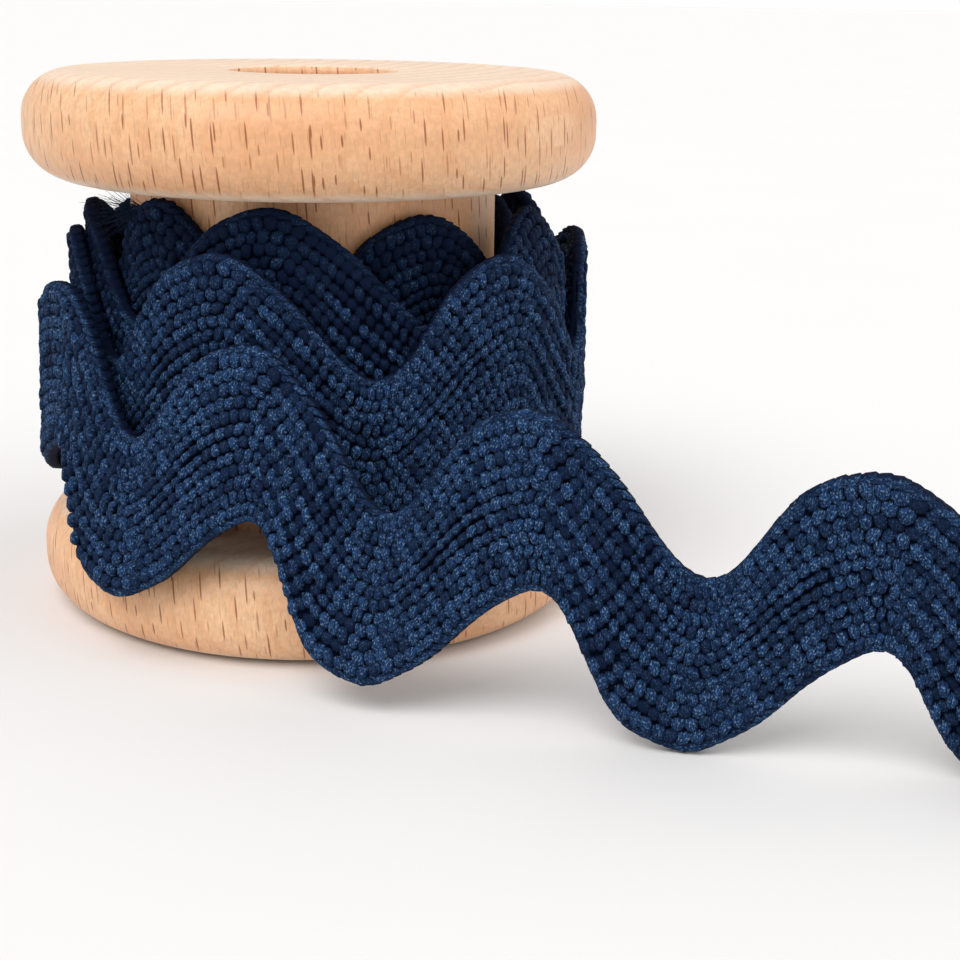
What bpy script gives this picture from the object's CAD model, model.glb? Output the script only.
"""A turned beech spool wound with wide navy rickrack braid, dressed for a studio view."""

import logging
import math
from collections.abc import Callable
from dataclasses import dataclass, field
from enum import Enum
from functools import partial, reduce

import bmesh
import bpy
import numpy as np
from mathutils import Matrix, Vector


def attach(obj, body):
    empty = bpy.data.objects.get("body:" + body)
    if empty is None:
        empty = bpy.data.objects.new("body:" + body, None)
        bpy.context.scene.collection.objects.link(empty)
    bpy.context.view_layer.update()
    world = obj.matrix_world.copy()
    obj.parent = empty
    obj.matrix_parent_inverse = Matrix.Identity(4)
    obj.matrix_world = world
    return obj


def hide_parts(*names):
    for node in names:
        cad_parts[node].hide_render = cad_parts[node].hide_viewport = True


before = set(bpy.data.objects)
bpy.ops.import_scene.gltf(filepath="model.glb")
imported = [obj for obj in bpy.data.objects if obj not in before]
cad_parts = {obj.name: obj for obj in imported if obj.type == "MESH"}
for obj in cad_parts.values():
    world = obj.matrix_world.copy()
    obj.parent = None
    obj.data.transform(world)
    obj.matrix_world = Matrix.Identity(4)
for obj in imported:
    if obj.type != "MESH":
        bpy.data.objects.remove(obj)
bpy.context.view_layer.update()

BODY = "root"
MM = 0.001
# Where the dressed spool's axis stands, in metres.
SPOOL_AXIS = (-0.019632, 0.017070)
# The yarns' map in millimetres, and their attribute from 0 in a hollow to 1 on top.
YARN_MAP = "Yarn"
TONE = "tone"
LOG = logging.getLogger("rickrack_spool")

Socket = bpy.types.NodeSocket
Piece = bpy.types.Object
Array = np.ndarray
Colour = tuple[float, float, float]


class Pick(Enum):
    """What a selection in edit mode is made of."""

    EDGES = "EDGE"
    FACES = "FACE"


class Side(Enum):
    """A side of the braid: the one that faces away from the spool, or the one towards it."""

    OUTER = 1
    INNER = -1


class Edge(Enum):
    """An edge of the braid as it stands on the spool."""

    UPPER = 1
    LOWER = -1


class Workbench:
    """Selections and modes that the modelling steps share."""

    @staticmethod
    def clear() -> None:
        """Deselects every object."""
        bpy.ops.object.select_all(action="DESELECT")

    @staticmethod
    def pick(piece: Piece, kind: Pick, test: Callable[[object], bool]) -> int:
        """Selects the edges or faces of a piece in edit mode that pass a test.

        Args:
            piece: The piece that is in edit mode.
            kind: Whether edges or faces are selected.
            test: Says whether one edge or face is selected.

        Returns:
            The number of elements selected.
        """
        bpy.ops.mesh.select_mode(type=kind.value)
        bpy.ops.mesh.select_all(action="DESELECT")
        mesh = bmesh.from_edit_mesh(piece.data)
        parts = mesh.edges if kind is Pick.EDGES else mesh.faces
        found = [part for part in parts if test(part)]
        for part in found:
            part.select_set(True)
        bmesh.update_edit_mesh(piece.data)
        return len(found)

    @staticmethod
    def name(piece: Piece, name: str) -> Piece:
        """Names a piece and its mesh alike.

        Args:
            piece: The piece.
            name: Its name.

        Returns:
            The piece.
        """
        piece.name = name
        piece.data.name = name
        return piece


class NodeBoard:
    """A node tree with short ways to add and join nodes."""

    def __init__(self, tree: bpy.types.NodeTree) -> None:
        """Starts on an empty or existing tree."""
        self.tree = tree

    def fill(self, node: bpy.types.Node, inputs: dict) -> bpy.types.Node:
        """Fills a node's inputs.

        Args:
            node: The node.
            inputs: A value or a socket for each named or numbered input.

        Returns:
            The node.
        """
        for key, value in inputs.items():
            if isinstance(value, Socket):
                self.tree.links.new(value, node.inputs[key])
            else:
                node.inputs[key].default_value = value
        return node

    def place(self, group: bpy.types.NodeTree, inputs: dict) -> bpy.types.Node:
        """Places a node group.

        Args:
            group: The group.
            inputs: A value or a socket for each named input.

        Returns:
            The group's node.
        """
        node = self.tree.nodes.new("ShaderNodeGroup")
        node.node_tree = group
        return self.fill(node, inputs)

    def add(self, kind: str, inputs: dict | None = None, **settings: object) -> bpy.types.Node:
        """Adds a node.

        Args:
            kind: The node's type, without its ShaderNode prefix.
            inputs: A value or a socket for each named or numbered input.
            **settings: Properties of the node.

        Returns:
            The new node.
        """
        node = self.tree.nodes.new("ShaderNode" + kind)
        for key, value in settings.items():
            setattr(node, key, value)
        return self.fill(node, inputs or {})

    def math(self, operation: str, *values: float | Socket) -> Socket:
        """Adds a Math node with its inputs in order."""
        return self.add("Math", dict(enumerate(values)), operation=operation).outputs[0]

    def split(self, vector: Socket) -> tuple[Socket, Socket, Socket]:
        """Adds a Separate XYZ node and gives its three sockets."""
        return tuple(self.add("SeparateXYZ", {0: vector}).outputs)

    def vector(self, operation: str, *values: object) -> bpy.types.Node:
        """Adds a Vector Math node with its inputs in order."""
        return self.add("VectorMath", dict(enumerate(values)), operation=operation)

    def remap(self, value: Socket, low: float, high: float,
              to_low: float = 0.0, to_high: float = 1.0) -> Socket:
        """Adds a smooth Map Range node.

        Args:
            value: The value to map.
            low: The value that becomes to_low.
            high: The value that becomes to_high.
            to_low: The lowest result.
            to_high: The highest result.

        Returns:
            The result's socket.
        """
        inputs = {"Value": value, "From Min": low, "From Max": high,
                  "To Min": to_low, "To Max": to_high}
        return self.add("MapRange", inputs, interpolation_type="SMOOTHSTEP").outputs["Result"]

    def noise(self, vector: Socket, scale: float | Socket, detail: float = 2.0,
              roughness: float = 0.5) -> Socket:
        """Adds a Noise Texture node and gives its value."""
        inputs = {"Vector": vector, "Scale": scale, "Detail": detail, "Roughness": roughness}
        return self.add("TexNoise", inputs).outputs[0]

    def mix(self, factor: float | Socket, low: object, high: object,
            blend: str = "MIX") -> Socket:
        """Adds a colour Mix node, where a factor of 1 shows the high colour alone."""
        node = self.add("Mix", {0: factor, 6: low, 7: high}, data_type="RGBA", blend_type=blend)
        return node.outputs[2]

    def bump(self, height: Socket, strength: float, depth: float) -> Socket:
        """Adds a Bump node with a depth in metres, and gives its normal."""
        inputs = {"Height": height, "Strength": strength, "Distance": depth}
        return self.add("Bump", inputs).outputs[0]


def make_group(name: str, inputs: dict[str, str], outputs: dict[str, str]) -> tuple:
    """Starts a shader node group.

    Args:
        name: The group's name.
        inputs: Socket type of each named input, without the NodeSocket prefix.
        outputs: Socket type of each named output.

    Returns:
        The node board of the group, its input node and its output node.
    """
    tree = bpy.data.node_groups.new(name, "ShaderNodeTree")
    for way, sockets in (("INPUT", inputs), ("OUTPUT", outputs)):
        for key, kind in sockets.items():
            tree.interface.new_socket(name=key, in_out=way, socket_type="NodeSocket" + kind)
    board = NodeBoard(tree)
    return board, tree.nodes.new("NodeGroupInput"), tree.nodes.new("NodeGroupOutput")


def opaque(colour: Colour, shade: float = 1.0) -> tuple[float, float, float, float]:
    """Gives a colour with full alpha, dimmed by a shade."""
    return (*(channel * shade for channel in colour), 1.0)


def new_material(name: str, colour: Colour) -> tuple:
    """Starts a material on a plain Principled shader.

    Args:
        name: The material's name.
        colour: Its colour in the viewport.

    Returns:
        The material, its node board and its shader node.
    """
    material = bpy.data.materials.new(name)
    material.use_nodes = True
    material.diffuse_color = opaque(colour)
    board = NodeBoard(material.node_tree)
    return material, board, material.node_tree.nodes["Principled BSDF"]


def make_fine_noise_group() -> bpy.types.NodeTree:
    """Builds the shared group of soft blotches and fine mottling.

    Returns:
        The node group, with the outputs Blotch and Mottle.
    """
    board, start, end = make_group(
        "Soft variation",
        {"Vector": "Vector", "Blotch Scale": "Float", "Mottle Scale": "Float"},
        {"Blotch": "Float", "Mottle": "Float"},
    )
    for key, detail in (("Blotch", 2.0), ("Mottle", 4.0)):
        noise = board.noise(start.outputs["Vector"], start.outputs[key + " Scale"], detail)
        board.tree.links.new(board.remap(noise, 0.28, 0.72), end.inputs[key])
    return board.tree


@dataclass(frozen=True)
class Dashes:
    """One layer of short dark dashes along the grain, in millimetres round and along it."""

    pitch: tuple[float, float]
    half_size: tuple[float, float]
    offset: tuple[float, float] = (0.0, 0.0)
    strength: float = 1.0

    def mask(self, board: NodeBoard, around: Socket, height: Socket) -> Socket:
        """Adds the layer's nodes.

        Args:
            board: The board to build on.
            around: Distance round the spool in millimetres.
            height: Height in millimetres.

        Returns:
            The dashes' mask.
        """
        cell = board.add("CombineXYZ", {
            axis: board.math("DIVIDE", board.math("ADD", place, self.offset[axis]),
                             self.pitch[axis])
            for axis, place in enumerate((around, height))}).outputs[0]
        texture = board.add("TexVoronoi", {"Vector": cell, "Scale": 1.0, "Randomness": 0.85},
                            voronoi_dimensions="2D")
        away = board.vector("SUBTRACT", cell, texture.outputs["Position"]).outputs[0]
        aside, ahead, _ = board.split(away)
        chance = board.add("SeparateColor", {0: texture.outputs["Color"]}).outputs
        across = board.math("MULTIPLY", aside, self.pitch[0] / self.half_size[0])
        reach = board.remap(chance[0], 0.0, 1.0, 0.45, 1.25)
        along = board.math("DIVIDE", ahead, board.math(
            "MULTIPLY", reach, self.half_size[1] / self.pitch[1]))
        spread = board.math("ADD", board.math("MULTIPLY", across, across),
                            board.math("MULTIPLY", along, along))
        mark = board.math("MULTIPLY", board.remap(spread, 1.0, 0.35),
                          board.remap(chance[1], 0.0, 0.7, 0.45, 1.0))
        return board.math("MULTIPLY", mark, self.strength)


@dataclass(frozen=True)
class BeechFinish:
    """Fine turned beech: pale ground, growth rings, and dark ray flecks along the grain."""

    pale: Colour = (0.87, 0.555, 0.328)
    warm: Colour = (0.72, 0.345, 0.160)
    fleck: Colour = (0.300, 0.082, 0.026)
    end_grain: Colour = (0.88, 0.71, 0.56)
    pith_mm: tuple[float, float, float] = (-46.0, 30.0, 0.0)
    ring_spacing_mm: float = 2.6
    ring_wander_mm: float = 5.0
    ring_taper: float = 0.13
    stock_radius_mm: float = 30.0
    grain_slant: float = 0.08
    layers: tuple[Dashes, ...] = (
        Dashes((2.2, 4.4), (0.12, 1.5)),
        Dashes((2.3, 4.3), (0.11, 1.3), offset=(1.17, 2.3)),
        Dashes((0.75, 2.4), (0.055, 0.9), strength=0.35),
    )
    blotch_share: float = 0.70
    fibre_share: float = 0.45
    end_share: float = 0.75
    ring_share: float = 0.34
    fleck_share: float = 0.88
    mottle_range: tuple[float, float] = (0.94, 1.05)
    roughness: float = 0.46
    roughness_span: float = 0.16
    specular: float = 0.42
    wax: float = 0.10
    wax_roughness: float = 0.35

    def fleck_mask(self, board: NodeBoard, x: Socket, height: Socket) -> Socket:
        """Adds all layers of flecks.

        Args:
            board: The board to build on.
            x: The way across the spool in millimetres.
            height: Height in millimetres.

        Returns:
            The flecks' mask.
        """
        limit = self.stock_radius_mm - 0.1
        held = board.math("MAXIMUM", board.math("MINIMUM", x, limit), -limit)
        turn = board.math("ARCSINE", board.math("DIVIDE", held, self.stock_radius_mm))
        around = board.math("ADD", board.math("MULTIPLY", turn, self.stock_radius_mm),
                            board.math("MULTIPLY", height, self.grain_slant))
        masks = [layer.mask(board, around, height) for layer in self.layers]
        return reduce(partial(board.math, "MAXIMUM"), masks)

    def ring_mask(self, board: NodeBoard, x: Socket, y: Socket, height: Socket,
                  wander: Socket) -> Socket:
        """Adds the growth rings, as lines round a pith outside the spool.

        Args:
            board: The board to build on.
            x: The way across the spool in millimetres.
            y: The way into the spool in millimetres.
            height: Height in millimetres.
            wander: How far the rings stray, from 0 to 1.

        Returns:
            The rings' mask.
        """
        flat = board.add("CombineXYZ", {0: x, 1: y}).outputs[0]
        from_pith = board.vector("SUBTRACT", flat, self.pith_mm).outputs[0]
        reach = board.math("ADD", board.vector("LENGTH", from_pith).outputs["Value"],
                           board.math("MULTIPLY", height, self.ring_taper))
        bent = board.math("ADD", reach, board.math("MULTIPLY", wander, self.ring_wander_mm))
        ring = board.math("FRACT", board.math("DIVIDE", bent, self.ring_spacing_mm))
        return board.math("MULTIPLY", board.remap(ring, 0.55, 0.97),
                          board.remap(ring, 1.0, 0.97))

    def grain_group(self) -> bpy.types.NodeTree:
        """Builds the grain as a node group.

        Returns:
            The group, with the outputs Ring, Fleck, Fibre and Facing.
        """
        board, start, end = make_group(
            "Beech grain", {"Vector": "Vector"},
            {"Ring": "Float", "Fleck": "Float", "Fibre": "Float", "Facing": "Float"})
        point = start.outputs["Vector"]
        x, y, z = board.split(point)
        stretched = board.vector("MULTIPLY", point, (1.0, 1.0, 0.20)).outputs[0]
        upward = board.split(board.add("NewGeometry").outputs["Normal"])[2]
        masks = {
            "Ring": self.ring_mask(board, x, y, z, board.noise(point, 0.05, 2.0)),
            "Fleck": self.fleck_mask(board, x, z),
            "Fibre": board.noise(stretched, 5.0, 3.0, 0.62),
            "Facing": board.remap(board.math("ABSOLUTE", upward), 0.70, 0.93),
        }
        for key, mask in masks.items():
            board.tree.links.new(mask, end.inputs[key])
        return board.tree

    def material(self, variation: bpy.types.NodeTree) -> bpy.types.Material:
        """Builds the wood's material.

        Args:
            variation: The shared group of soft variation.

        Returns:
            The material.
        """
        material, board, shader = new_material("Turned beech", self.pale)
        link = board.tree.links.new
        centred = board.add("Mapping", {
            "Vector": board.add("TexCoord").outputs["Object"],
            "Location": (-SPOOL_AXIS[0] / MM, -SPOOL_AXIS[1] / MM, 0.0),
            "Scale": (1 / MM, 1 / MM, 1 / MM),
        }).outputs[0]
        grain = board.place(self.grain_group(), {"Vector": centred}).outputs
        soft = board.place(variation, {
            "Vector": centred, "Blotch Scale": 0.08, "Mottle Scale": 1.6}).outputs
        side = board.math("SUBTRACT", 1.0, grain["Facing"])
        fibre = board.math("MULTIPLY", board.remap(grain["Fibre"], 0.35, 0.68), side)
        fleck = board.math("MULTIPLY", grain["Fleck"], side)

        colour = opaque(self.pale)
        for mask, share, stain in (
                (soft["Blotch"], self.blotch_share, self.warm),
                (fibre, self.fibre_share, self.warm),
                (grain["Facing"], self.end_share, self.end_grain),
                (grain["Ring"], self.ring_share, self.warm),
                (fleck, self.fleck_share, self.fleck)):
            colour = board.mix(board.math("MULTIPLY", mask, share), colour, opaque(stain))
        mottle = board.remap(soft["Mottle"], 0.0, 1.0, *self.mottle_range)
        grey = board.add("CombineColor", {0: mottle, 1: mottle, 2: mottle}).outputs[0]
        link(board.mix(1.0, colour, grey, "MULTIPLY"), shader.inputs["Base Color"])

        rough = board.math("ADD", board.math("MULTIPLY", soft["Mottle"], self.roughness_span),
                           self.roughness - self.roughness_span / 2)
        link(rough, shader.inputs["Roughness"])
        shader.inputs["Coat Weight"].default_value = self.wax
        shader.inputs["Coat Roughness"].default_value = self.wax_roughness
        shader.inputs["Specular IOR Level"].default_value = self.specular

        relief = board.math("SUBTRACT", board.math("MULTIPLY", grain["Fibre"], 0.5),
                            board.math("MULTIPLY", fleck, 0.6))
        relief = board.math("ADD", relief, board.math("MULTIPLY", soft["Mottle"], 0.25))
        link(board.bump(relief, 0.25, 0.08 * MM), shader.inputs["Normal"])
        return material


@dataclass
class TurnedSpool:
    """The beech spool: two round-edged flanges on a plain core, bored right through."""

    finish: BeechFinish = field(default_factory=BeechFinish)
    height: float = 56.1 * MM
    flange_radius: float = 30.0 * MM
    flange_thickness: float = 10.8 * MM
    core_radius: float = 19.4 * MM
    bore_radius: float = 8.6 * MM
    rim_rounding: float = 4.7 * MM
    bore_rounding: float = 0.8 * MM
    core_fillet: float = 1.2 * MM
    sides: int = 144
    rim_faces: int = 10
    bore_faces: int = 4
    fillet_faces: int = 5
    slack: float = 0.02 * MM
    smooth_degrees: float = 40.0

    def radius_of(self, point: object) -> float:
        """Gives a point's distance from the spool's axis."""
        return math.hypot(point[0] - SPOOL_AXIS[0], point[1] - SPOOL_AXIS[1])

    def shoulders(self) -> tuple[float, float]:
        """Gives the heights where the flanges meet the core."""
        return self.flange_thickness, self.height - self.flange_thickness

    def blank(self) -> Piece:
        """Makes the solid cylinder that the spool is turned from.

        Returns:
            The blank.
        """
        Workbench.clear()
        bpy.ops.mesh.primitive_cylinder_add(
            vertices=self.sides, radius=self.flange_radius, depth=self.height,
            location=(*SPOOL_AXIS, self.height / 2))
        bpy.ops.object.transform_apply(location=True, rotation=True, scale=True)
        return Workbench.name(bpy.context.object, "beech_spool")

    def bore(self, piece: Piece) -> None:
        """Bores the blank from end to end.

        Args:
            piece: The blank, in edit mode.
        """
        Workbench.pick(piece, Pick.FACES, lambda face: abs(face.normal.z) > 0.9)
        bpy.ops.mesh.inset(thickness=self.flange_radius - self.bore_radius,
                           use_individual=True)
        bpy.ops.mesh.bridge_edge_loops()

    def is_wall(self, face: bmesh.types.BMFace) -> bool:
        """Says whether a face stands on the outer wall."""
        middle = face.calc_center_median()
        return abs(face.normal.z) < 0.1 and self.radius_of(middle) > 0.95 * self.flange_radius

    def waist(self, piece: Piece) -> None:
        """Turns the core down between the two flanges.

        Args:
            piece: The bored blank, in edit mode.
        """
        low, high = self.shoulders()
        for level in (low, high):
            Workbench.pick(piece, Pick.FACES, self.is_wall)
            bpy.ops.mesh.bisect(plane_co=(*SPOOL_AXIS, level), plane_no=(0, 0, 1))
        Workbench.pick(piece, Pick.FACES, lambda face: self.is_wall(face)
                       and low < face.calc_center_median().z < high)
        share = self.core_radius / self.flange_radius
        bpy.ops.mesh.extrude_region_move()
        bpy.ops.transform.resize(value=(share, share, 1.0),
                                 center_override=(*SPOOL_AXIS, self.height / 2))

    def round_loops(self, piece: Piece, radius: float, levels: tuple,
                    rounding: float, segments: int) -> None:
        """Rounds the edge loops of one radius at some heights.

        Args:
            piece: The spool.
            radius: The loops' radius.
            levels: Their heights.
            rounding: The rounding's radius.
            segments: The faces across the rounding.
        """

        def on_loop(edge: bmesh.types.BMEdge) -> bool:
            """Says whether an edge lies on one of the loops."""
            start, end = (vert.co for vert in edge.verts)
            return abs(start.z - end.z) < self.slack and all(
                abs(self.radius_of(place) - radius) < self.slack
                and min(abs(place.z - level) for level in levels) < self.slack
                for place in (start, end))

        Workbench.pick(piece, Pick.EDGES, on_loop)
        bpy.ops.mesh.bevel(offset=rounding, segments=segments, profile=0.5, affect="EDGES",
                           clamp_overlap=False)

    def turn(self, piece: Piece) -> None:
        """Rounds the rims, the bore's mouths and the corners of the core.

        Args:
            piece: The waisted blank, in edit mode.
        """
        ends = (0.0, self.height)
        self.round_loops(piece, self.flange_radius, (*ends, *self.shoulders()),
                         self.rim_rounding, self.rim_faces)
        self.round_loops(piece, self.bore_radius, ends, self.bore_rounding, self.bore_faces)
        self.round_loops(piece, self.core_radius, self.shoulders(), self.core_fillet,
                         self.fillet_faces)

    def build(self, variation: bpy.types.NodeTree) -> Piece:
        """Models and dresses the spool.

        Args:
            variation: The shared group of soft variation.

        Returns:
            The finished spool.
        """
        piece = self.blank()
        bpy.ops.object.mode_set(mode="EDIT")
        self.bore(piece)
        self.waist(piece)
        self.turn(piece)
        bpy.ops.mesh.select_all(action="SELECT")
        bpy.ops.mesh.remove_doubles(threshold=0.001 * MM)
        bpy.ops.mesh.normals_make_consistent(inside=False)
        bpy.ops.object.mode_set(mode="OBJECT")
        bpy.ops.object.shade_smooth_by_angle(angle=math.radians(self.smooth_degrees))
        piece.data.materials.append(self.finish.material(variation))
        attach(piece, BODY)
        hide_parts("spool")
        return piece


@dataclass(frozen=True)
class BraidTables:
    """Where the braid runs, as tables in millimetres and degrees about the spool's axis."""

    # Each edge is its mean height and then the cosine and sine part of each harmonic.
    wave_length: float = 29.75
    upper: tuple = (8.85, ((-5.63, -0.34), (-0.75, -0.37), (-0.06, -0.16), (0.07, 0.04)))
    lower: tuple = (-8.85, ((-5.54, 0.33), (0.91, 0.64), (0.06, -0.43), (-0.20, 0.07)))
    # Turn, radius, height, shift of the waves, outward lean and curl of the crests.
    wound: tuple = (
        (-1070, 20.7, 31.0, -0.66, 0.00, 0.6),
        (-1000, 20.7, 30.0, -0.50, 0.00, 0.0),
        (-920, 21.3, 28.8, -0.52, -0.02, -0.2),
        (-830, 21.8, 28.2, -0.38, 0.00, -0.2),
        (-730, 22.6, 28.7, -0.55, 0.00, 0.9),
        (-640, 24.0, 30.7, -0.64, -0.03, -0.2),
        (-560, 26.0, 29.2, -0.72, 0.00, -2.4),
        (-470, 25.6, 29.2, -0.20, 0.00, -0.4),
        (-360, 24.6, 26.4, 0.06, 0.00, 0.4),
        (-280, 27.1, 26.8, 0.14, 0.04, -0.4),
        (-200, 28.3, 25.3, 0.14, 0.00, -0.6),
        (-150, 28.7, 25.0, 0.14, 0.05, 2.2),
        (-100, 28.9, 26.4, 0.11, 0.02, 0.6),
        (-50, 28.5, 26.8, 0.08, 0.03, 0.4),
        (-8, 28.4, 24.6, 0.00, 0.03, 0.0),
        (27, 29.0, 21.6, -0.14, -0.12, 0.2),
        (62, 30.7, 20.1, -0.08, -0.16, 0.4),
    )
    # The loose end's places on the table, x and y, with its height and lean.
    loose: tuple = (
        (5.2, -36.6, 16.4, -0.23),
        (18.6, -44.4, 16.0, -0.05),
        (32.2, -48.1, 13.7, -0.10),
        (45.2, -54.6, 13.8, 0.15),
        (72.0, -63.2, 13.8, 0.10),
    )
    loose_length: float = 69.0
    plan_step: float = 15.0
    lengths_per_span: int = 24
    curl_start: float = 6.0
    curl_reach: float = 8.0


def smooth_rows(positions: Array, rows: Array, at: Array) -> Array:
    """Runs a smooth curve through table rows.

    Args:
        positions: The rows' positions.
        rows: The values of each row.
        at: The positions that are asked for.

    Returns:
        The values there.
    """
    at = np.clip(at, positions[0], positions[-1])
    secants = np.diff(rows, axis=0) / np.diff(positions)[:, None]
    slopes = np.vstack([secants[:1], (secants[1:] + secants[:-1]) / 2, secants[-1:]])
    i = np.clip(np.searchsorted(positions, at, side="right") - 1, 0, len(positions) - 2)
    span = (positions[i + 1] - positions[i])[:, None]
    p = (at - positions[i])[:, None] / span
    return ((2 * p**3 - 3 * p**2 + 1) * rows[i] + (p**3 - 2 * p**2 + p) * span * slopes[i]
            + (3 * p**2 - 2 * p**3) * rows[i + 1] + (p**3 - p**2) * span * slopes[i + 1])


class PlanCurve:
    """The braid's plan line: a centripetal curve through points on the table."""

    NEARBY = 1e-4

    def __init__(self, points: Array, lengths_per_span: int) -> None:
        """Fits the curve and measures it.

        Args:
            points: The points that it passes through, in millimetres.
            lengths_per_span: Measured lengths between two points.
        """
        ghosts = np.vstack([2 * points[0] - points[1], points, 2 * points[-1] - points[-2]])
        p0, p1, p2, p3 = ghosts[:-3], ghosts[1:-2], ghosts[2:-1], ghosts[3:]
        gaps = [np.sqrt(np.linalg.norm(b - a, axis=1))[:, None]
                for a, b in ((p0, p1), (p1, p2), (p2, p3))]
        leave = ((p1 - p0) / gaps[0] - (p2 - p0) / (gaps[0] + gaps[1])
                 + (p2 - p1) / gaps[1]) * gaps[1]
        arrive = ((p2 - p1) / gaps[1] - (p3 - p1) / (gaps[1] + gaps[2])
                  + (p3 - p2) / gaps[2]) * gaps[1]
        self.terms = (p1, leave, 3 * (p2 - p1) - 2 * leave - arrive,
                      2 * (p1 - p2) + leave + arrive)
        self.spans = len(points) - 1
        self.per_span = lengths_per_span
        marks = self.at_part(np.linspace(0, 1, self.spans * lengths_per_span + 1))
        steps = np.linalg.norm(np.diff(marks, axis=0), axis=1)
        self.lengths = np.concatenate([[0.0], np.cumsum(steps)])

    def at_part(self, part: Array) -> Array:
        """Gives points of the curve by its own measure.

        Args:
            part: Places from 0 at the curve's start to 1 at its end.

        Returns:
            The points in millimetres.
        """
        place = np.clip(part, 0, 1) * self.spans
        i = np.minimum(place.astype(int), self.spans - 1)
        w = (place - i)[:, None]
        a, b, c, d = (term[i] for term in self.terms)
        return a + b * w + c * w**2 + d * w**3

    def at_distance(self, distance: Array) -> tuple[Array, Array]:
        """Gives points and directions at distances along the curve.

        Args:
            distance: The distances in millimetres.

        Returns:
            The points, and the unit directions there.
        """
        part = np.interp(distance, self.lengths, np.linspace(0, 1, len(self.lengths)))
        way = self.at_part(part + self.NEARBY) - self.at_part(part - self.NEARBY)
        return self.at_part(part), way / np.linalg.norm(way, axis=1)[:, None]


def wave(edge: tuple, phase: Array, slope: bool = False) -> Array:
    """Gives an edge's height above the braid's middle line, or its rate per wave.

    Args:
        edge: The edge's mean and its cosine and sine parts.
        phase: The place along the braid in waves.
        slope: Whether the rate is given instead.

    Returns:
        The height in millimetres, or its rate in millimetres per wave.
    """
    mean, parts = edge
    total = np.full_like(phase, 0.0 if slope else mean)
    for order, (cosine, sine) in enumerate(parts, 1):
        turn = 2 * np.pi * order
        angle = turn * phase
        if slope:
            total += turn * (sine * np.cos(angle) - cosine * np.sin(angle))
        else:
            total += cosine * np.cos(angle) + sine * np.sin(angle)
    return total


@dataclass(frozen=True)
class Spot:
    """Places on the braid with the directions along it, up it and out of it."""

    point: Array
    along: Array
    up: Array
    out: Array


class BraidCourse:
    """How the braid stands on its plan line, from its tables."""

    def __init__(self, tables: BraidTables) -> None:
        """Lays the plan line and reads the tables along it.

        Args:
            tables: The braid's tables.
        """
        self.tables = tables
        wound, loose = np.array(tables.wound), np.array(tables.loose)
        turns = wound[:, 0]
        sweep = turns[-1] - turns[0]
        steps = round(sweep / tables.plan_step)
        at = turns[0] + sweep * np.arange(steps + 1) / steps
        radius = smooth_rows(turns, wound[:, 1:2], at)
        azimuth = np.radians(at - 180)[:, None]
        ring = radius * np.hstack([np.cos(azimuth), np.sin(azimuth)])
        self.curve = PlanCurve(np.vstack([ring, loose[:, :2]]), tables.lengths_per_span)
        marks = np.concatenate([(turns - turns[0]) / sweep * steps,
                                steps + 1 + np.arange(len(loose))])
        self.marks = self.curve.lengths[np.round(marks * tables.lengths_per_span).astype(int)]
        still = np.zeros(len(loose))
        self.rows = np.vstack([wound[:, 2:], np.column_stack(
            [loose[:, 2], still, loose[:, 3], still])])
        self.origin = self.marks[len(wound)]
        self.length = self.origin + tables.loose_length

    def distance_at_turn(self, turn: float) -> float:
        """Gives the distance along the braid at a turn of the winding."""
        turns = [row[0] for row in self.tables.wound]
        return float(np.interp(turn, turns, self.marks[:len(turns)]))

    def phase(self, distance: Array) -> Array:
        """Gives the place in waves at distances along the plan line."""
        shift = smooth_rows(self.marks, self.rows, distance)[:, 1]
        return (distance - self.origin) / self.tables.wave_length + shift

    def edges(self, distance: Array) -> tuple[Array, Array]:
        """Gives the heights of the lower and upper edge above the middle line."""
        phase = self.phase(distance)
        return wave(self.tables.lower, phase), wave(self.tables.upper, phase)

    def slope(self, distance: Array) -> Array:
        """Gives how steeply the braid's middle climbs.

        Args:
            distance: Distances along the plan line in millimetres.

        Returns:
            The climb in millimetres for each millimetre along.
        """
        phase = self.phase(distance)
        rate = wave(self.tables.lower, phase, True) + wave(self.tables.upper, phase, True)
        return rate / 2 / self.tables.wave_length

    def spot(self, distance: Array, rise: Array, lift: Array | float) -> Spot:
        """Finds places on the braid.

        Args:
            distance: Distances along the plan line in millimetres.
            rise: Heights above the middle line in millimetres.
            lift: How far out of the braid's middle sheet, in millimetres.

        Returns:
            The places in metres, with their directions.
        """
        foot, way = self.curve.at_distance(distance)
        height, _, lean, curl = smooth_rows(self.marks, self.rows, distance).T
        curled = np.maximum(0, rise - self.tables.curl_start) / self.tables.curl_reach
        offset = lean * rise + curl * curled**2
        tip = lean + 2 * curl * curled / self.tables.curl_reach
        none = np.zeros(len(foot))
        along = np.column_stack([way, none])
        flat_out = np.column_stack([way[:, 1], -way[:, 0], none])
        vertical = np.array([0.0, 0.0, 1.0])
        up = flat_out * tip[:, None] + vertical
        up /= np.linalg.norm(up, axis=1)[:, None]
        out = np.cross(along, up)
        out *= np.sign((out * flat_out).sum(axis=1))[:, None]
        point = np.column_stack([foot, height + rise]) + flat_out * offset[:, None]
        point += out * np.broadcast_to(lift, none.shape)[:, None]
        return Spot(point * MM + np.array([*SPOOL_AXIS, 0.0]), along, up, out)


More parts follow.
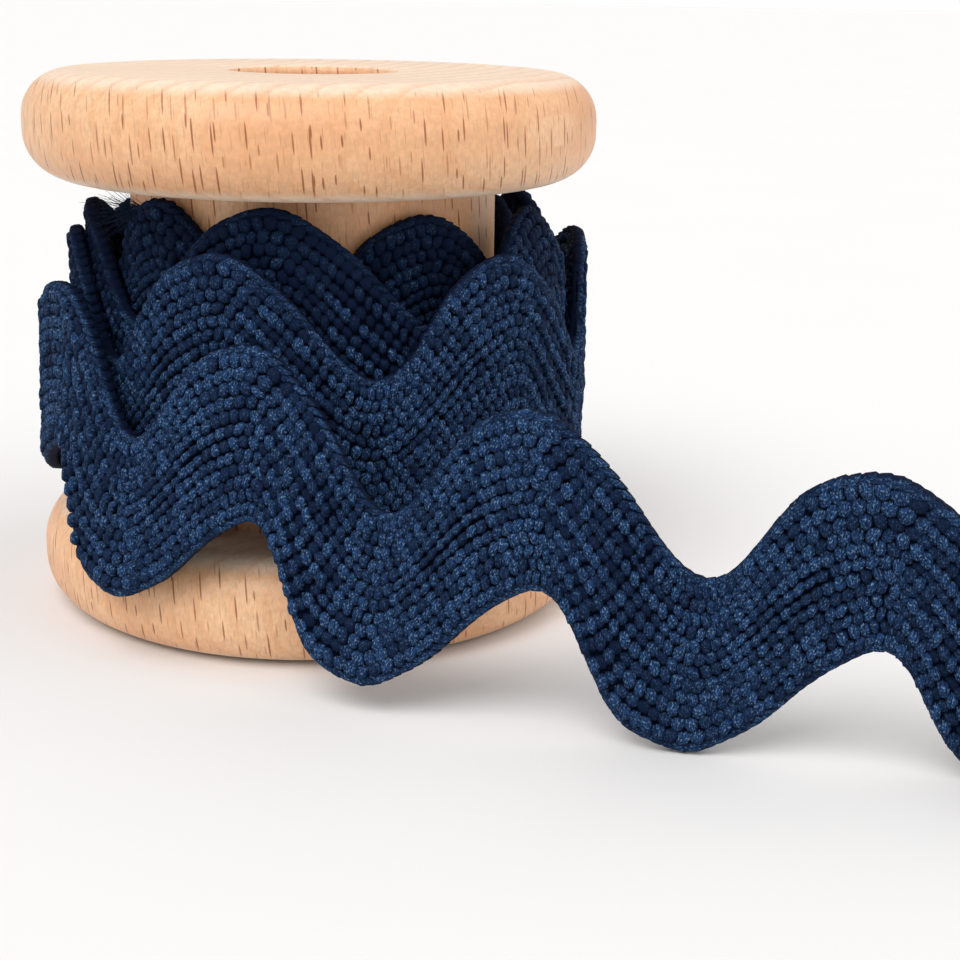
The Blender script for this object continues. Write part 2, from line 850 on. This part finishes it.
@dataclass
class MeshHeap:
    """Vertices and faces that are gathered before they become one mesh."""

    points: list[Array] = field(default_factory=list)
    maps: list[Array] = field(default_factory=list)
    tones: list[Array] = field(default_factory=list)
    faces: list[Array] = field(default_factory=list)
    count: int = 0

    def add(self, points: Array, uv: Array, tone: Array, faces: list[Array]) -> None:
        """Adds vertices and the faces between them.

        Args:
            points: Vertex places in metres.
            uv: A map coordinate in millimetres for each vertex.
            tone: A tone from 0 to 1 for each vertex.
            faces: Arrays of vertex numbers, one array for each number of corners.
        """
        self.points.append(points)
        self.maps.append(uv)
        self.tones.append(tone)
        self.faces.extend(part + self.count for part in faces)
        self.count += len(points)

    def to_piece(self, name: str) -> Piece:
        """Makes the mesh.

        Args:
            name: The piece's name.

        Returns:
            The piece, with its map and its tone attribute.
        """
        points = np.vstack(self.points)
        loops = np.concatenate([part.ravel() for part in self.faces]).astype(np.int32)
        sizes = np.concatenate([np.full(len(part), part.shape[1]) for part in self.faces])
        starts = np.concatenate([[0], np.cumsum(sizes)[:-1]]).astype(np.int32)
        mesh = bpy.data.meshes.new(name)
        mesh.vertices.add(len(points))
        mesh.vertices.foreach_set("co", points.astype(np.float32).ravel())
        mesh.loops.add(len(loops))
        mesh.loops.foreach_set("vertex_index", loops)
        mesh.polygons.add(len(sizes))
        mesh.polygons.foreach_set("loop_start", starts)
        mesh.polygons.foreach_set("use_smooth", np.ones(len(sizes), bool))
        layer = mesh.uv_layers.new(name=YARN_MAP)
        layer.data.foreach_set("uv", np.vstack(self.maps)[loops].astype(np.float32).ravel())
        attribute = mesh.attributes.new(TONE, "FLOAT", "POINT")
        attribute.data.foreach_set("value", np.concatenate(self.tones).astype(np.float32))
        mesh.update(calc_edges=True)
        mesh.validate()
        piece = bpy.data.objects.new(name, mesh)
        bpy.context.scene.collection.objects.link(piece)
        return piece


def ring_walls(rings: int, sides: int) -> Array:
    """Lists the four-cornered faces between closed rings of vertices.

    Args:
        rings: The number of rings.
        sides: The vertices of each ring.

    Returns:
        The faces' vertex numbers.
    """
    start = np.arange(rings - 1)[:, None] * sides
    index = start + np.arange(sides)[None]
    beside = start + (np.arange(sides)[None] + 1) % sides
    return np.stack([index, beside, beside + sides, index + sides], axis=-1).reshape(-1, 4)


@dataclass(frozen=True)
class YarnShape:
    """One small closed yarn bump of unit size, as heights and radii of rings from its foot up.

    A squareness of 2 makes its outline round, and more makes it squarer.
    """

    rings: tuple[tuple[float, float], ...]
    sides: int
    squareness: float
    widening: float = 0.16

    def mesh(self) -> tuple[Array, list[Array]]:
        """Shapes the bump, a little wider at its upper end.

        Returns:
            Its vertices, and its faces by number of corners.
        """
        index = np.arange(self.sides)
        angle = 2 * np.pi * index / self.sides
        outline = np.stack([np.cos(angle), np.sin(angle)], axis=1)
        power = self.squareness
        outline /= (np.abs(outline) ** power).sum(axis=1, keepdims=True) ** (1 / power)
        points = [np.column_stack([radius * outline, np.full(self.sides, height)])
                  for height, radius in self.rings]
        points = np.vstack([*points, [[0.0, 0.0, 1.0]]])
        points[:, 0] *= 1 + self.widening * points[:, 1]
        top = (len(self.rings) - 1) * self.sides
        cap = np.column_stack([top + index, top + (index + 1) % self.sides,
                               np.full(self.sides, top + self.sides)])
        return points, [index[::-1][None], ring_walls(len(self.rings), self.sides), cap]


@dataclass(frozen=True)
class YarnFinish:
    """Matte navy yarn with fine fibres that catch the light."""

    deep: Colour = (0.0020, 0.0070, 0.0260)
    mid: Colour = (0.0152, 0.0555, 0.1600)
    bright: Colour = (0.2050, 0.3350, 0.4900)
    fibre_density: tuple[float, float, float] = (6.2, 1.7, 1.0)
    glint_density: tuple[float, float, float] = (6.6, 4.0, 1.0)
    glint: float = 0.72
    roughness: float = 0.82
    specular: float = 0.09
    relief: float = 0.13 * MM

    def fibre_group(self) -> bpy.types.NodeTree:
        """Builds the yarn's fibres as a node group.

        Returns:
            The group, with the outputs Fibre and Glint.
        """
        board, start, end = make_group(
            "Yarn fibres", {"Map": "Vector", "Twist": "Float"},
            {"Fibre": "Float", "Glint": "Float"})
        turned = board.add("VectorRotate", {
            "Vector": start.outputs["Map"], "Angle": start.outputs["Twist"],
        }, rotation_type="Z_AXIS").outputs[0]
        long_way = board.vector("MULTIPLY", turned, self.fibre_density).outputs[0]
        speck = board.vector("MULTIPLY", turned, self.glint_density).outputs[0]
        glint = board.remap(board.noise(speck, 1.0, 2.0, 0.55), 0.51, 0.73)
        board.tree.links.new(board.noise(long_way, 1.0, 2.5, 0.6), end.inputs["Fibre"])
        board.tree.links.new(glint, end.inputs["Glint"])
        return board.tree

    def material(self, name: str, fibres: bpy.types.NodeTree, twist: float,
                 shade: float) -> bpy.types.Material:
        """Builds the yarn's material.

        Args:
            name: The material's name.
            fibres: The shared group of fibres.
            twist: The fibres' slant on each yarn in radians.
            shade: How bright the yarn is, where 1 is a yarn on top.

        Returns:
            The material.
        """
        material, board, shader = new_material(name, self.mid)
        link = board.tree.links.new
        uv = board.add("UVMap", uv_map=YARN_MAP).outputs[0]
        tone = board.add("Attribute", attribute_name=TONE).outputs["Fac"]
        yarn = board.place(fibres, {"Map": uv, "Twist": twist}).outputs
        fibre = board.remap(yarn["Fibre"], 0.30, 0.70)
        raised = board.remap(tone, 0.06, 0.76)
        body = board.mix(board.math("MULTIPLY", fibre, raised),
                         opaque(self.deep, shade), opaque(self.mid, shade))
        lit = board.math("MULTIPLY", yarn["Glint"], board.math("MULTIPLY", raised, self.glint))
        link(board.mix(lit, body, opaque(self.bright, shade)), shader.inputs["Base Color"])
        shader.inputs["Roughness"].default_value = self.roughness
        shader.inputs["Specular IOR Level"].default_value = self.specular * shade
        link(board.bump(yarn["Fibre"], 0.9, self.relief), shader.inputs["Normal"])
        return material


@dataclass
class GroundSheet:
    """The thin sheet that the yarns stand on, with rounded edges, in millimetres."""

    course: BraidCourse
    half_thickness: float = 0.52
    step: float = 0.70
    rows: int = 18
    inset: float = 0.2
    edge_rounding: float = 0.6
    edge_thinness: float = 0.05
    evenness: float = 0.65
    tone: float = 0.2

    def paths(self) -> list[tuple[float, int]]:
        """Lists the way round a section: up its outer face and down its inner one.

        Returns:
            The part of the width from 0 to 1, and the face's sign, for each vertex.
        """
        even = np.linspace(0, 1, self.rows + 1)
        rounded = (1 - np.cos(np.pi * even)) / 2
        across = (1 - self.evenness) * rounded + self.evenness * even
        return [(part, 1) for part in across] + [(part, -1) for part in across[::-1]]

    def build(self) -> Piece:
        """Makes the sheet.

        Returns:
            The closed sheet.
        """
        count = round(self.course.length / self.step)
        distance = np.linspace(0, self.course.length, count + 1)
        lower, upper = self.course.edges(distance)
        lower, upper = lower + self.inset, upper - self.inset
        columns, rises = [], []
        for part, sign in self.paths():
            rise = lower + (upper - lower) * part
            rim = np.minimum(rise - lower, upper - rise)
            fall = (1 - rim / self.edge_rounding).clip(0) ** 2
            thick = self.half_thickness * np.sqrt(np.clip(1 - fall, self.edge_thinness, 1))
            columns.append(self.course.spot(distance, rise, sign * thick).point)
            rises.append(rise)
        points = np.stack(columns, axis=1)
        size = points.shape[1]
        first = np.arange(size // 2 - 1)
        mate = size - 1 - first
        start_cap = np.column_stack([first, first + 1, mate - 1, mate])
        end_cap = start_cap[:, ::-1] + count * size
        walls = ring_walls(count + 1, size)[:, [0, 3, 2, 1]]
        uv = np.column_stack([np.repeat(distance, size), np.stack(rises, axis=1).ravel()])
        heap = MeshHeap()
        heap.add(points.reshape(-1, 3), uv, np.full(len(uv), self.tone),
                 [walls, start_cap, end_cap])
        return heap.to_piece("braid_ground")


@dataclass(frozen=True)
class FlangeShade:
    """How yarns darken that lie deep under the upper flange, by height and radius in mm."""

    dimming: float = 0.57
    start_height: float = 26.0
    height_span: float = 12.0
    start_radius: float = 29.0
    radius_span: float = 4.0

    def factor(self, points: Array) -> Array:
        """Gives how bright yarns stay.

        Args:
            points: Their places in metres.

        Returns:
            A factor on each yarn's tone.
        """
        radius = np.hypot(points[:, 0] - SPOOL_AXIS[0], points[:, 1] - SPOOL_AXIS[1]) / MM
        high = np.clip((points[:, 2] / MM - self.start_height) / self.height_span, 0, 1)
        deep = np.clip((self.start_radius - radius) / self.radius_span, 0, 1)
        return 1 - self.dimming * high * deep


@dataclass
class YarnLayer:
    """What the layers of yarns on the braid share: its course and the random draws."""

    course: BraidCourse
    random: np.random.Generator
    shade: FlangeShade = FlangeShade()
    samples: int = 6000
    jitter: float = 0.028
    map_scatter: float = 60.0
    trimming: float = 0.88
    foot_tone: float = 0.15
    tail_tone: float = 0.80

    @staticmethod
    def count_yarns(rises: Array, spacing: Array, fine: Array) -> Array:
        """Counts the yarns up to each of some fine distances, along a line at given rises."""
        step = np.hypot(np.diff(fine), np.diff(rises)) / spacing[1:]
        return np.concatenate([[0], np.cumsum(step)])

    def strew(self, heap: MeshHeap, spot: Spot, shape: YarnShape, pose: tuple[Array, Array],
              size: Array, tone: Array, trim: tuple[Array, Array] | None = None) -> None:
        """Sets a bump on each of some places.

        Args:
            heap: The heap that takes the bumps.
            spot: The places and directions.
            shape: One bump.
            pose: Each bump's lean from upright towards the way along, and the tilt of its
                width from the way along towards upright, in radians.
            size: Half width, half length and height of each bump in millimetres.
            tone: Each bump's tone from 0 to 1.
            trim: The direction of an outline beside each bump, as an angle from the way
                along, and how far past its middle the bump may reach, in millimetres.
        """
        corners, faces = shape.mesh()
        lean, tilt = pose
        flat = size[:, None, :2] * corners[None, :, :2]
        flat = flat + self.random.normal(0, self.jitter, flat.shape)
        ahead = flat[..., 0] * np.cos(tilt)[:, None] + flat[..., 1] * np.sin(lean)[:, None]
        above = flat[..., 0] * np.sin(tilt)[:, None] + flat[..., 1] * np.cos(lean)[:, None]
        if trim is not None:
            outward, reach = trim
            cosine, sine = np.cos(outward)[:, None], np.sin(outward)[:, None]
            excess = np.maximum(0, ahead * cosine + above * sine - reach) * self.trimming
            ahead, above = ahead - excess * cosine, above - excess * sine
        points = spot.point[:, None] + MM * (
            ahead[..., None] * spot.along[:, None] + above[..., None] * spot.up[:, None]
            + (size[:, 2:] * corners[:, 2])[..., None] * spot.out[:, None])
        uv = (flat + self.random.uniform(0, self.map_scatter, (len(lean), 1, 2))).reshape(-1, 2)
        height = np.clip(self.foot_tone + (1 - self.foot_tone) * corners[:, 2], 0, 1)
        height *= self.tail_tone + (1 - self.tail_tone) * corners[:, 1]
        offsets = (np.arange(len(lean)) * len(corners))[:, None, None]
        heap.add(points.reshape(-1, 3), uv, (tone[:, None] * height).ravel(),
                 [(part[None] + offsets).reshape(-1, part.shape[1]) for part in faces])


@dataclass
class Plait(YarnLayer):
    """The rows of plaited bumps on the braid's faces, in millimetres."""

    outer_shape: YarnShape = YarnShape(((-0.30, 0.98), (0.55, 0.95), (0.91, 0.63)), 8, 3.0)
    inner_shape: YarnShape = YarnShape(((-0.35, 0.94), (0.40, 0.96), (0.88, 0.62)), 6, 2.0)
    rows: int = 12
    border: float = 0.80
    pitch: float = 1.12
    crowding: float = 0.07
    lift: float = 0.42
    end_gap: float = 0.3
    slide: float = 0.14
    full_climb: float = 0.9
    rib_rows: float = 1.7
    rib_tilt: tuple[float, float] = (0.18, 0.40)
    level_size: tuple[float, float, float] = (0.57, 0.76, 0.66)
    climb_size: tuple[float, float, float] = (0.55, 0.81, 0.67)
    rib_growth: tuple[float, float, float] = (0.07, -0.16, 0.10)
    proud_size: tuple[float, float, float] = (0.54, 0.85, 0.80)
    sunk_size: tuple[float, float, float] = (0.59, 0.70, 0.52)
    level_lean: float = 0.22
    climb_lean: float = 0.05
    fall_lean: float = -0.12
    sunk_dimming: float = 0.45
    place_scatter: tuple[float, float] = (0.045, 0.04)
    size_scatter: tuple[float, float, float] = (0.06, 0.06, 0.12)
    lean_scatter: float = 0.10
    lowest_tone: float = 0.35

    def shapes(self, climb: Array, row: int) -> tuple[Array, Array, Array]:
        """Shapes the bumps of one row by how the braid climbs there.

        The middle rows gather into ribs where the braid climbs. Where it falls, every other
        row stands proud and the rows between sink back.

        Args:
            climb: How steeply the braid climbs, seen from the bumps' side.
            row: The row's number from the lower edge.

        Returns:
            Each bump's half width, half length and height, its lean and its tilt.
        """
        rising, falling = (np.clip(way * climb / self.full_climb, 0, 1) for way in (1, -1))
        rising, falling = (part**2 * (3 - 2 * part) for part in (rising, falling))
        middle = math.exp(-(((row + 0.5 - self.rows / 2) / self.rib_rows) ** 2))
        sunk = row % 2
        knuckle = self.sunk_size if sunk else self.proud_size
        size = np.column_stack([
            level + (slope + middle * growth - level) * rising + (on_fall - level) * falling
            for level, slope, growth, on_fall in zip(
                self.level_size, self.climb_size, self.rib_growth, knuckle)])
        lean = (-self.level_lean if sunk else self.level_lean) * (1 - rising) * (1 - falling)
        lean = lean + self.climb_lean * rising + self.fall_lean * falling
        tilt = np.arctan(climb) * (self.rib_tilt[0] + self.rib_tilt[1] * middle) * rising
        return size, lean, tilt

    def row_step(self, distance: Array) -> tuple[Array, Array]:
        """Gives the height of the lowest row's foot and the space from row to row."""
        lower, upper = self.course.edges(distance)
        return lower + self.border, (upper - lower - 2 * self.border) / self.rows

    def lay_row(self, heap: MeshHeap, row: int, even: Array, side: Side) -> None:
        """Sets one row of bumps.

        Args:
            heap: The heap that takes the bumps.
            row: The row's number from the lower edge.
            even: The yarns' even distances along the braid.
            side: The side that they stand on.
        """
        count = len(even)
        sway = np.clip(self.course.slope(even), -1, 1) * self.row_step(even)[1]
        slid = even - self.slide * sway * (row + 0.5 - self.rows / 2)
        distance = slid + self.random.normal(0, self.place_scatter[0], count)
        distance = np.clip(distance, self.end_gap, self.course.length - self.end_gap)
        foot, step = self.row_step(distance)
        rise = foot + step * (row + 0.5) + self.random.normal(0, self.place_scatter[1], count)
        climb = self.course.slope(distance) * side.value
        size, lean, tilt = self.shapes(climb, row)
        size[:, 0] *= np.gradient(slid, even)
        size *= self.random.normal(1, self.size_scatter, (count, 3))
        lean += self.random.normal(0, self.lean_scatter, count)
        tone = self.random.uniform(self.lowest_tone, 1, count)
        if row % 2:
            tone *= 1 - self.sunk_dimming * np.clip(-climb / self.full_climb, 0, 1)
        spot = self.course.spot(distance, rise, side.value * self.lift)
        tone *= self.shade.factor(spot.point)
        if side is Side.OUTER:
            self.strew(heap, spot, self.outer_shape, (lean, tilt), size, tone)
        else:
            inward = Spot(spot.point, -spot.along, spot.up, -spot.out)
            self.strew(heap, inward, self.inner_shape, (lean, tilt), size, tone)

    def build(self, name: str, start: float, end: float, side: Side) -> Piece:
        """Plaits a stretch of one side.

        Args:
            name: The piece's name.
            start: Where the stretch starts, in millimetres along.
            end: Where it ends.
            side: The side that the yarns stand on.

        Returns:
            The stretch.
        """
        heap = MeshHeap()
        fine = np.linspace(0, self.course.length, self.samples)
        crowded = self.crowding * np.cos(4 * np.pi * self.course.phase(fine))
        count_to = self.count_yarns(sum(self.course.edges(fine)) / 2,
                                    self.pitch * (1 - crowded), fine)
        first, last = np.interp([start, end], fine, count_to)
        for row in range(self.rows):
            shift = 0.5 * (row % 2)
            marks = np.arange(math.ceil(first - shift), math.floor(last - shift) + 1) + shift
            self.lay_row(heap, row, np.interp(marks, count_to, fine), side)
        return heap.to_piece(name)


@dataclass
class CordEdge(YarnLayer):
    """The slanting yarns that wrap the braid's edges, in millimetres."""

    shape: YarnShape = YarnShape(
        ((-0.82, 0.62), (-0.45, 0.92), (0.15, 1.0), (0.70, 0.78)), 8, 2.4)
    spacing: float = 1.12
    inset: float = 0.58
    end_gap: float = 0.2
    slant: float = 0.28
    slant_by_rate: float = 0.34
    slant_range: tuple[float, float] = (0.08, 0.62)
    inset_by_slant: float = 0.85
    width: tuple[float, float] = (0.48, 0.08)
    length: tuple[float, float] = (1.15, 0.50)
    thickness: float = 0.78
    outline_gap: float = 0.04
    slant_scatter: float = 0.03
    size_scatter: float = 0.04
    lowest_tone: float = 0.4

    def build(self, edge: Edge) -> Piece:
        """Wraps one edge from end to end.

        Args:
            edge: The edge.

        Returns:
            The wrapped edge.
        """
        fine = np.linspace(0, self.course.length, self.samples)
        rises = self.course.edges(fine)[1 if edge is Edge.UPPER else 0]
        count_to = self.count_yarns(rises, np.full(len(fine), self.spacing), fine)
        stops = (self.end_gap, self.course.length - self.end_gap)
        first, last = np.interp(stops, fine, count_to)
        marks = np.arange(math.ceil(first), math.floor(last)) + 0.5
        count = len(marks)
        distance = np.interp(marks, count_to, fine)
        rate = np.interp(distance, fine, np.gradient(rises, fine))
        heading = np.arctan(rate)
        slant = np.clip(self.slant - self.slant_by_rate * rate * edge.value, *self.slant_range)
        inset = self.inset - self.inset_by_slant * np.maximum(0, slant - self.slant)
        rise = np.interp(distance, fine, rises) - edge.value * inset * np.sqrt(1 + rate**2)
        level = heading + edge.value * slant + self.random.normal(0, self.slant_scatter, count)
        size = np.column_stack([self.width[0] + self.width[1] * slant,
                                self.length[0] + self.length[1] * slant,
                                np.full(count, self.thickness)])
        size *= self.random.normal(1, self.size_scatter, size.shape)
        spot = self.course.spot(distance, rise, 0.0)
        tone = self.random.uniform(self.lowest_tone, 1, count) * self.shade.factor(spot.point)
        heap = MeshHeap()
        self.strew(heap, spot, self.shape, (math.pi / 2 - level, level - math.pi / 2), size,
                   tone, (heading + edge.value * math.pi / 2, inset[:, None] - self.outline_gap))
        return heap.to_piece(f"{edge.name.lower()}_cord_edge")


@dataclass(frozen=True)
class Fray:
    """A tuft of loose fibres: where it stands, which way it points, and how far it reaches."""

    place: float
    way: int
    count: int
    reach: float
    band: tuple[float, float]
    fan: float
    tone: float


@dataclass
class LooseFibres(YarnLayer):
    """The fibres that stand loose at the two cut ends and at one frayed corner, in mm."""

    frayed_turn: float = -1043.0
    radius: float = 0.05
    taper: float = 0.7
    sides: int = 4
    links: int = 6
    margin: float = 0.4
    half_lift: float = 0.5
    shortest: float = 0.35
    bend: float = 0.45
    ceiling: float = 45.1

    def frays(self) -> tuple[Fray, ...]:
        """Lists the tufts of loose fibres.

        Returns:
            The cut end on the core, the cut end on the table, and the frayed corner.
        """
        corner = self.course.distance_at_turn(self.frayed_turn)
        return (Fray(0.25, -1, 150, 3.4, (0.0, 1.0), 0.15, 0.8),
                Fray(self.course.length - 0.2, 1, 90, 0.9, (0.0, 1.0), 0.15, 0.8),
                Fray(corner, -1, 130, 3.9, (0.92, 1.0), 0.80, 0.45))

    def add_fibre(self, heap: MeshHeap, fray: Fray, spot: Spot, i: int) -> None:
        """Adds one thin bent fibre.

        Args:
            heap: The heap that takes it.
            fray: The tuft that it belongs to.
            spot: The places of the tuft's fibres.
            i: The fibre's number.
        """
        length = fray.reach * self.random.uniform(self.shortest, 1.0)
        bend = self.random.normal(0, self.bend, 2)
        part = np.linspace(0, 1, self.links)[:, None]
        line = spot.point[i] + MM * length * (
            fray.way * spot.along[i] * part + spot.up[i] * bend[0] * part**2
            + spot.out[i] * (fray.fan + 0.5 * bend[1]) * part**2)
        line[:, 2] = np.minimum(line[:, 2], self.ceiling * MM)
        index = np.arange(self.sides)
        angle = 2 * np.pi * index / self.sides
        ring = spot.up[i] * np.cos(angle)[:, None] + spot.out[i] * np.sin(angle)[:, None]
        radius = MM * self.radius * (1 - self.taper * part)
        points = (line[:, None] + ring[None] * radius[:, None]).reshape(-1, 3)
        caps = np.array([index[::-1], index + self.sides * (self.links - 1)])
        uv = np.column_stack([np.tile(angle, self.links),
                              np.repeat(part[:, 0] * length, self.sides)])
        heap.add(points, uv, np.full(len(points), fray.tone),
                 [ring_walls(self.links, self.sides), caps])

    def build(self) -> Piece:
        """Makes the loose fibres of every tuft.

        Returns:
            The piece that holds them all.
        """
        heap = MeshHeap()
        for fray in self.frays():
            lower, upper = (edge[0] for edge in self.course.edges(np.array([fray.place])))
            width = upper - lower - 2 * self.margin
            low, high = (lower + self.margin + width * part for part in fray.band)
            rise = self.random.uniform(low, high, fray.count)
            lift = self.random.uniform(-self.half_lift, self.half_lift, fray.count)
            spot = self.course.spot(np.full(fray.count, fray.place), rise, lift)
            for i in range(fray.count):
                self.add_fibre(heap, fray, spot, i)
        return heap.to_piece("cut_fibres")


@dataclass
class Rickrack:
    """The plaited braid: a thin ground sheet, its plaited bumps, its corded edges and ends."""

    tables: BraidTables = field(default_factory=BraidTables)
    finish: YarnFinish = field(default_factory=YarnFinish)
    outer_stops: tuple[float, ...] = (-840, -540, -250, 10)
    inner_stops: tuple[float, ...] = (-400,)
    past_stop: float = 1e-6
    seed: int = 11

    def __post_init__(self) -> None:
        """Lays the braid's course."""
        self.course = BraidCourse(self.tables)

    def stretches(self, turns: tuple[float, ...]) -> list[tuple[float, float]]:
        """Gives the start and end in mm of each stretch between turns of the winding."""
        stops = [0.0, *map(self.course.distance_at_turn, turns), self.course.length]
        return [(start + self.past_stop, end) for start, end in zip(stops[:-1], stops[1:])]

    def yarn_pieces(self) -> list[Piece]:
        """Models all yarns, in the order of their random draws.

        Returns:
            The plaited stretches, the corded edges and the loose fibres.
        """
        shared = (self.course, np.random.default_rng(self.seed))
        plait, cord = Plait(*shared), CordEdge(*shared)
        pieces = []
        for side, label, turns in ((Side.OUTER, "plait_stretch", self.outer_stops),
                                   (Side.INNER, "plait_inside", self.inner_stops)):
            for number, (start, end) in enumerate(self.stretches(turns), 1):
                pieces.append(plait.build(f"{label}_{number}", start, end, side))
        pieces.extend(cord.build(edge) for edge in Edge)
        pieces.append(LooseFibres(*shared).build())
        return pieces

    def build(self) -> list[Piece]:
        """Models and dresses the braid.

        Returns:
            Its pieces, the ground sheet first.
        """
        fibres = self.finish.fibre_group()
        ground = GroundSheet(self.course).build()
        yarns = self.yarn_pieces()
        ground.data.materials.append(self.finish.material("Navy ground", fibres, 0.0, 0.35))
        top_yarn = self.finish.material("Navy yarn", fibres, 0.12, 1.0)
        for piece in yarns:
            piece.data.materials.append(top_yarn)
        for piece in (ground, *yarns):
            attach(piece, BODY)
        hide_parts("rickrack")
        return [ground, *yarns]


@dataclass(frozen=True)
class Lamp:
    """One broad, far light: the way to it, its width in degrees and its strength."""

    name: str
    toward: tuple[float, float, float]
    spread: float
    strength: float

    def hang(self) -> None:
        """Hangs the light over the scene."""
        data = bpy.data.lights.new(self.name, "SUN")
        data.angle = math.radians(self.spread)
        data.energy = self.strength
        light = bpy.data.objects.new(self.name, data)
        bpy.context.scene.collection.objects.link(light)
        light.rotation_euler = Vector(self.toward).to_track_quat("Z", "Y").to_euler()


@dataclass
class Studio:
    """The pale floor, the soft lights and the camera."""

    floor_colour: Colour = (0.825, 0.814, 0.808)
    floor_radius: float = 6.0
    floor_sides: int = 96
    camera_place: tuple[float, float, float] = (SPOOL_AXIS[0], -0.16704, 0.06497)
    pitch: float = 0.2848
    yaw: float = 0.0993
    roll: float = 0.0147
    lens: float = 63.52
    sensor: float = 36.0
    near_clip: float = 0.005
    seen_white: float = 0.995
    ambient: float = 0.60
    lamps: tuple[Lamp, ...] = (
        Lamp("key_light", (-0.33, -0.46, 0.82), 42.0, 1.86),
        Lamp("right_light", (0.78, -0.25, 0.57), 75.0, 0.85),
    )

    def camera(self) -> None:
        """Sets up the camera at the photograph's viewing angle."""
        ahead = np.array([math.sin(self.yaw) * math.cos(self.pitch),
                          math.cos(self.yaw) * math.cos(self.pitch), -math.sin(self.pitch)])
        right = np.array([math.cos(self.yaw), -math.sin(self.yaw), 0.0])
        above = np.cross(right, ahead)
        cosine, sine = math.cos(self.roll), math.sin(self.roll)
        across, upward = cosine * right + sine * above, cosine * above - sine * right
        data = bpy.data.cameras.new("photo_view")
        data.lens = self.lens
        data.sensor_width = self.sensor
        data.clip_start = self.near_clip
        camera = bpy.data.objects.new("photo_view", data)
        bpy.context.scene.collection.objects.link(camera)
        turned = Matrix(np.column_stack([across, upward, -ahead]).tolist()).to_4x4()
        camera.matrix_world = Matrix.Translation(self.camera_place) @ turned
        bpy.context.scene.camera = camera

    def floor(self) -> None:
        """Lays the paper that the spool stands on."""
        Workbench.clear()
        bpy.ops.mesh.primitive_circle_add(
            vertices=self.floor_sides, radius=self.floor_radius, fill_type="NGON")
        piece = Workbench.name(bpy.context.object, "paper_floor")
        material, board, shader = new_material("Pale paper", self.floor_colour)
        point = board.add("TexCoord").outputs["Object"]
        tooth = board.noise(point, 900.0, 3.0)
        cloud = board.remap(board.noise(point, 14.0, 2.0), 0.3, 0.7)
        shaded = board.mix(board.math("MULTIPLY", cloud, 0.5), opaque(self.floor_colour),
                           opaque(self.floor_colour, 0.985))
        board.tree.links.new(shaded, shader.inputs["Base Color"])
        shader.inputs["Roughness"].default_value = 0.75
        shader.inputs["Specular IOR Level"].default_value = 0.2
        board.tree.links.new(board.bump(tooth, 0.12, 0.1 * MM), shader.inputs["Normal"])
        piece.data.materials.append(material)

    def sky(self) -> None:
        """Surrounds the studio with white, which lights the spool less than it shows."""
        world = bpy.data.worlds.new("studio")
        world.use_nodes = True
        board = NodeBoard(world.node_tree)
        seen = board.add("LightPath").outputs["Is Camera Ray"]
        strength = board.math("ADD", board.math("MULTIPLY", seen, self.seen_white - self.ambient),
                              self.ambient)
        background = world.node_tree.nodes["Background"]
        background.inputs["Color"].default_value = opaque((1.0, 1.0, 1.0))
        board.tree.links.new(strength, background.inputs["Strength"])
        bpy.context.scene.world = world
        bpy.context.scene.view_settings.view_transform = "Standard"

    def build(self) -> None:
        """Sets up floor, lights, world and camera."""
        self.camera()
        self.floor()
        for lamp in self.lamps:
            lamp.hang()
        self.sky()


def main() -> None:
    """Builds the studio, the spool and the braid."""
    logging.basicConfig(level=logging.INFO, format="%(name)s: %(message)s")
    Workbench.clear()
    Studio().build()
    LOG.info("studio ready")
    variation = make_fine_noise_group()
    spool = TurnedSpool().build(variation)
    LOG.info("%s has %d faces", spool.name, len(spool.data.polygons))
    for piece in Rickrack().build():
        LOG.info("%s has %d faces", piece.name, len(piece.data.polygons))


if __name__ == "__main__":
    main()
